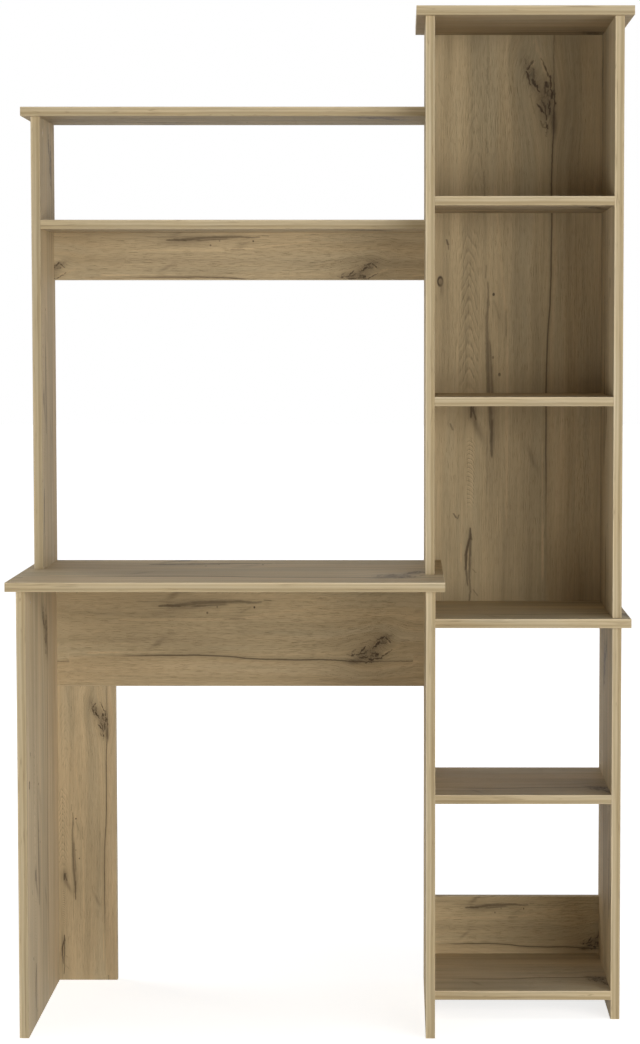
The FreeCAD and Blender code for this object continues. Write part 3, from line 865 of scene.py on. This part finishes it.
def emboss(bench, shader, height, depth):
    """A Bump node from a height to the shader's Normal, on a printed face with little sheen."""
    bump = bench.lay("ShaderNodeBump", {"Strength": 1.0, "Distance": depth, "Height": height})
    bench.plug(shader.inputs["Normal"], bump.outputs["Normal"])
    shader.inputs["Specular IOR Level"].default_value = SHEEN_LEVEL


def map_pattern(bench, coordinates, turn, shift, squeeze=(1.0, 1.0, 1.0)):
    """The piece's own coordinates, squeezed, turned and shifted onto a pattern."""
    inputs = {
        "Vector": coordinates.outputs["Object"], "Location": shift, "Rotation": turn,
        "Scale": squeeze}
    return bench.lay("ShaderNodeMapping", inputs, vector_type="POINT").outputs["Vector"]


def facing(bench, coordinates, axis):
    """How far a surface faces along an axis, from -1 to 1."""
    node = bench.lay(
        "ShaderNodeVectorMath", {0: coordinates.outputs["Normal"], 1: axis}, operation="DOT_PRODUCT")
    return Value(bench, node.outputs["Value"])


def put_on(node, material):
    """Gives a CAD node its finish."""
    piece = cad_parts.get(node)
    if piece is None:
        raise RuntimeError("the model has no piece called " + node)
    piece.data.materials.clear()
    piece.data.materials.append(material)
    for slot in piece.material_slots:
        slot.material = material


def opaque(colour):
    """A colour with full alpha."""
    return (*colour, 1.0)


def tinted(colour, tint_and_painted_light):
    """A colour times a board's tint and painted light, part by part, with full alpha."""
    return opaque(value * share for value, share in zip(colour, tint_and_painted_light))


def dress_board(node, window, settings):
    """One board: the print's window on its faces, and bare chips or hardboard where it has no print."""
    oak = settings.desk_oak
    core = settings.desk_core
    (along, across), knot_place, squeeze_along, squeeze_across, tint_and_painted_light = window
    grain = Vector(along)
    width = Vector(across)
    squeeze = [abs(grain[i]) * squeeze_along + abs(width[i]) * squeeze_across for i in range(3)]
    knot_along = grain.dot(Vector(knot_place)) * squeeze_along
    knot_across = width.dot(Vector(knot_place)) * squeeze_across
    shift = (BIG_KNOT[0] - knot_along, 0.0, BIG_KNOT[1] - knot_across)
    turn = Matrix((grain, width.cross(grain), width)).to_euler()
    material, bench, shader, coordinates = start_material("oak_" + node)
    place = map_pattern(bench, coordinates, turn, shift, squeeze)
    if node in TURNED_SHEETS:
        run, depth, side = bench.split(place)
        turned = bench.span(facing(bench, coordinates, TURNED_SHEETS[node]), *FACE_EDGE)
        place = bench.join(bench.mix(turned, run, PRINT_LENGTH - run), depth, side)
    # Ground and Grey carry the board's tint, which is partly painted light and painted shade.
    face = bench.place(shared_group("Oak Print", make_print_group), {
        "Vector": place, "Grain": (1 / squeeze_along, 1 / squeeze_across, 0.0), "Fibre": oak.fibre,
        "Ground": tinted(oak.ground, tint_and_painted_light), "Grey": tinted(oak.grey, tint_and_painted_light),
        "Pale": opaque(oak.pale), "Dark": opaque(oak.dark)})
    if node == BACK_PANEL:
        bare = bench.span(facing(bench, coordinates, ALONG_Y), *FACE_EDGE)
        light = core.hardboard
        dark = Vector(core.hardboard) * HARDBOARD_SHADE
    else:
        bare = bench.span(abs(facing(bench, coordinates, grain.cross(width))), *reversed(FACE_EDGE))
        light = core.chip_light
        dark = core.chip_dark
    chips = bench.place(shared_group("Board Core", make_chip_group), {
        "Vector": coordinates.outputs["Object"], "Light": opaque(light), "Dark": opaque(dark)})
    roughness = bench.mix(bare, face["Roughness"], BARE_ROUGHNESS)
    coat(bench, shader, bench.blend(bare, face["Colour"], chips["Colour"]), roughness)
    emboss(bench, shader, bench.mix(bare, face["Height"], chips["Height"]), oak.pore_depth)
    put_on(node, material)


def dress_boards(windows, settings):
    """Every board of a table of windows."""
    for node, window in windows.items():
        dress_board(node, window, settings)


def dress_band(board, place, band):
    """One edge band, its stripes running along it and centred between the board's two faces."""
    low, high = (Vector(corner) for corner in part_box(board))
    thickness = high - low
    thin = min(range(3), key=lambda axis: thickness[axis])
    turn = Euler(BAND_TURNS[thin])
    middle = turn.to_matrix() @ ((low + high) / 2)
    material, bench, shader, coordinates = start_material("band_" + board)
    # Painted light or painted shade on this band: one factor on both its deep and pale colours.
    light = BAND_PAINTED_LIGHT.get(board, 1.0)
    stripes = bench.place(shared_group("Band Stripes", make_band_group), {
        "Vector": map_pattern(bench, coordinates, turn, (place * BAND_STEP, 0.0, -middle.z)),
        "Deep": opaque(Vector(band.deep) * light), "Pale": opaque(Vector(band.pale) * light),
        "Dark": opaque(band.dark)})
    coat(bench, shader, stripes["Colour"], stripes["Roughness"])
    emboss(bench, shader, stripes["Height"], BAND_RELIEF)
    put_on(board + "_edge_band", material)


def make_speckled_finish(name, colour, shade, kind, roughness):
    """A fitting's finish: a colour and a darker shade of it, mixed by noise. Also gives its shader."""
    material, bench, shader, coordinates = start_material(name)
    speckle = bench.noise(coordinates.outputs["Object"], kind)
    mixed = bench.blend(bench.span(speckle, *SPECKLE_EDGE), opaque(colour), opaque(Vector(colour) * shade))
    coat(bench, shader, mixed, bench.line(speckle, *roughness))
    return material, shader


def make_cam_finish(metal, oak):
    """Plated metal whose outer face is covered in the oak's colour, so that no cam shows on its board."""
    material, bench, shader, coordinates = start_material("cam_housing")
    _, depth, height = bench.split(coordinates.outputs["Object"])
    grain = bench.noise(bench.join(height, depth), "cover's grain")
    cover = bench.blend(bench.span(grain, *SPECKLE_EDGE), opaque(oak), opaque(Vector(oak) * COVER_SHADE))
    outer = bench.span(abs(facing(bench, coordinates, ALONG_X)), *COVER_EDGE)
    roughness = bench.mix(outer, CAM_ROUGHNESS, bench.line(grain, *WOOD_ROUGHNESS))
    coat(bench, shader, bench.blend(outer, opaque(metal), cover), roughness)
    bench.plug(shader.inputs["Metallic"], 1.0 - outer)
    shader.inputs["Specular IOR Level"].default_value = SHEEN_LEVEL
    return material


class DESKSET_OT_dress_desk(bpy.types.Operator):
    """Print the oak on the desk's top, legs, modesty panel and rear strip."""

    bl_idname = "deskset.dress_desk"
    bl_label = "Dress Desk Boards"

    def execute(self, context):
        dress_boards(DESK_WINDOWS, context.scene)
        return {"FINISHED"}


class DESKSET_OT_dress_hutch(bpy.types.Operator):
    """Print the oak on the hutch's upright, top, shelf and rail."""

    bl_idname = "deskset.dress_hutch"
    bl_label = "Dress Hutch Boards"

    def execute(self, context):
        dress_boards(HUTCH_WINDOWS, context.scene)
        return {"FINISHED"}


class DESKSET_OT_dress_tower(bpy.types.Operator):
    """Print the oak on the tower's uprights, shelves and back panel."""

    bl_idname = "deskset.dress_tower"
    bl_label = "Dress Tower Boards"

    def execute(self, context):
        dress_boards(TOWER_WINDOWS, context.scene)
        return {"FINISHED"}


class DESKSET_OT_dress_cabinet(bpy.types.Operator):
    """Print the oak on the cabinet's counter, side, shelves and back rail."""

    bl_idname = "deskset.dress_cabinet"
    bl_label = "Dress Cabinet Boards"

    def execute(self, context):
        dress_boards(CABINET_WINDOWS, context.scene)
        return {"FINISHED"}


class DESKSET_OT_dress_bands(bpy.types.Operator):
    """Stripe every edge band along its own length."""

    bl_idname = "deskset.dress_bands"
    bl_label = "Dress Edge Bands"

    def execute(self, context):
        windows = (*DESK_WINDOWS, *HUTCH_WINDOWS, *TOWER_WINDOWS, *CABINET_WINDOWS)
        boards = [board for board in windows if board != BACK_PANEL]
        for place, board in enumerate(boards):
            dress_band(board, place, context.scene.desk_band)
        return {"FINISHED"}


class DESKSET_OT_dress_fittings(bpy.types.Operator):
    """Finish the dowels in bare beech, the bolts and brads in plated metal and the cams with oak covers."""

    bl_idname = "deskset.dress_fittings"
    bl_label = "Dress Fittings"

    def execute(self, context):
        core = context.scene.desk_core
        beech, _ = make_speckled_finish(
            "dowel_beech", core.beech, BEECH_SHADE, "beech rings", WOOD_ROUGHNESS)
        for node in DOWEL_NODES:
            put_on(node, beech)
        zinc, shader = make_speckled_finish(
            "fitting_zinc", core.zinc, ZINC_SHADE, "zinc spangle", ZINC_ROUGHNESS)
        shader.inputs["Metallic"].default_value = 1.0
        for node in METAL_NODES:
            put_on(node, zinc)
        put_on(CAM_NODE, make_cam_finish(core.zinc, context.scene.desk_oak.ground))
        return {"FINISHED"}


def place_camera(stage):
    """A camera from the photograph's own view: place, pitch, yaw, focal length and middle in its pixels."""
    data = bpy.data.cameras.new("photo_camera")
    camera = bpy.data.objects.new("photo_camera", data)
    bpy.context.scene.collection.objects.link(camera)
    look = Vector((
        math.sin(stage.yaw) * math.cos(stage.pitch),
        math.cos(stage.yaw) * math.cos(stage.pitch),
        -math.sin(stage.pitch)))
    camera.location = stage.camera_place
    camera.rotation_euler = look.to_track_quat("-Z", "Y").to_euler()
    long_side = max(PHOTO_WIDTH, PHOTO_HEIGHT)
    data.lens = stage.focal_pixels / long_side * data.sensor_width
    data.shift_x = (PHOTO_WIDTH / 2 - stage.middle_across) / long_side
    data.shift_y = (stage.middle_down - PHOTO_HEIGHT / 2) / long_side
    bpy.context.scene.camera = camera


def round_the_desk(azimuth, distance, height):
    """A place at a bearing from the desk's front, clockwise seen from above, at a distance and height."""
    bearing = math.radians(azimuth)
    return Vector((distance * math.sin(bearing), -distance * math.cos(bearing), height))


def place_lamp(name, place, aim, width, height, power):
    """A large soft lamp that looks at a point."""
    data = bpy.data.lights.new(name, "AREA")
    data.shape = "RECTANGLE"
    data.size = width
    data.size_y = height
    data.energy = power
    lamp = bpy.data.objects.new(name, data)
    lamp.location = place
    lamp.rotation_euler = (aim - place).to_track_quat("-Z", "Y").to_euler()
    bpy.context.scene.collection.objects.link(lamp)


def seen_directly(bench):
    """1 for rays from the camera, a mirror or glass, and 0 for the light that falls on the object."""
    path = bench.lay("ShaderNodeLightPath")
    rays = (path.outputs[name] for name in ("Is Camera Ray", "Is Glossy Ray", "Is Transmission Ray"))
    return bench.fold("MAXIMUM", *rays)


def light_world(stage):
    """An even sky: white where it is seen, weaker where it lights the object."""
    world = bpy.data.worlds.new("studio_sky")
    bpy.context.scene.world = world
    bench = clear_bench(world)
    strength = bench.mix(seen_directly(bench), stage.sky, 1.0)
    background = bench.lay("ShaderNodeBackground", {"Color": WHITE, "Strength": strength})
    bench.lay("ShaderNodeOutputWorld", {"Surface": background.outputs["Background"]})


def lay_floor(stage):
    """A large pale floor that keeps the object's soft shadow and is otherwise seen as white."""
    half = stage.floor_side / 2
    corners = [(-half, -half, 0.0), (half, -half, 0.0), (half, half, 0.0), (-half, half, 0.0)]
    mesh = bpy.data.meshes.new("studio_floor")
    mesh.from_pydata(corners, [], [(0, 1, 2, 3)])
    floor = bpy.data.objects.new("studio_floor", mesh)
    bpy.context.scene.collection.objects.link(floor)
    material = bpy.data.materials.new("studio_floor")
    bench = clear_bench(material)
    matt = bench.lay("ShaderNodeBsdfDiffuse", {"Color": opaque(stage.floor_colour)})
    coordinates = bench.lay("ShaderNodeTexCoord")
    distance = bench.lay("ShaderNodeVectorMath", {0: coordinates.outputs["Object"]}, operation="LENGTH")
    white = bench.span(distance.outputs["Value"], *stage.shadow_reach, stage.floor_glow, 1.0)
    glow = bench.lay("ShaderNodeEmission", {"Color": WHITE, "Strength": seen_directly(bench) * white})
    both = bench.lay("ShaderNodeAddShader", {0: matt.outputs["BSDF"], 1: glow.outputs["Emission"]})
    bench.lay("ShaderNodeOutputMaterial", {"Surface": both.outputs["Shader"]})
    mesh.materials.append(material)


class DESKSET_OT_set_stage(bpy.types.Operator):
    """Stand the camera, hang the lamps and lay the floor."""

    bl_idname = "deskset.set_stage"
    bl_label = "Set Stage"

    def execute(self, context):
        stage = context.scene.desk_stage
        place_camera(stage)
        light_world(stage)
        for name, (azimuth, distance, height, aim_height, width, tall) in LAMPS.items():
            place = round_the_desk(azimuth, distance, height)
            aim = Vector((0.0, 0.0, aim_height))
            place_lamp(name + "_lamp", place, aim, width, tall, getattr(stage, name + "_power"))
        lay_floor(stage)
        context.scene.view_settings.view_transform = "Standard"
        return {"FINISHED"}


class DESKSET_PT_sidebar(bpy.types.Panel):
    """Lists the steps that dress the desk."""

    bl_idname = "DESKSET_PT_sidebar"
    bl_label = "Desk"
    bl_space_type = "VIEW_3D"
    bl_region_type = "UI"
    bl_category = "Desk"

    def draw(self, context):
        for operator in OPERATORS:
            self.layout.operator(operator.bl_idname)
        for group in SETTINGS:
            box = self.layout.box()
            values = getattr(context.scene, group)
            for name in values.bl_rna.properties.keys():
                if name not in ("rna_type", "name"):
                    box.prop(values, name)


OPERATORS = (
    DESKSET_OT_dress_desk,
    DESKSET_OT_dress_hutch,
    DESKSET_OT_dress_tower,
    DESKSET_OT_dress_cabinet,
    DESKSET_OT_dress_bands,
    DESKSET_OT_dress_fittings,
    DESKSET_OT_set_stage,
)
SETTINGS = {
    "desk_oak": OakFinish,
    "desk_band": BandFinish,
    "desk_core": CoreFinish,
    "desk_stage": StageSetup,
}


def register():
    """Registers the settings, operators and panel."""
    for name, group in SETTINGS.items():
        bpy.utils.register_class(group)
        setattr(bpy.types.Scene, name, PointerProperty(type=group))
    for operator in OPERATORS:
        bpy.utils.register_class(operator)
    bpy.utils.register_class(DESKSET_PT_sidebar)


def unregister():
    """Takes the panel, operators and settings away again."""
    bpy.utils.unregister_class(DESKSET_PT_sidebar)
    for operator in reversed(OPERATORS):
        bpy.utils.unregister_class(operator)
    for name, group in SETTINGS.items():
        delattr(bpy.types.Scene, name)
        bpy.utils.unregister_class(group)


def main():
    """Dresses the model step by step."""
    register()
    bpy.ops.deskset.dress_desk()
    bpy.ops.deskset.dress_hutch()
    bpy.ops.deskset.dress_tower()
    bpy.ops.deskset.dress_cabinet()
    bpy.ops.deskset.dress_bands()
    bpy.ops.deskset.dress_fittings()
    bpy.ops.deskset.set_stage()


if __name__ == "__main__":
    main()
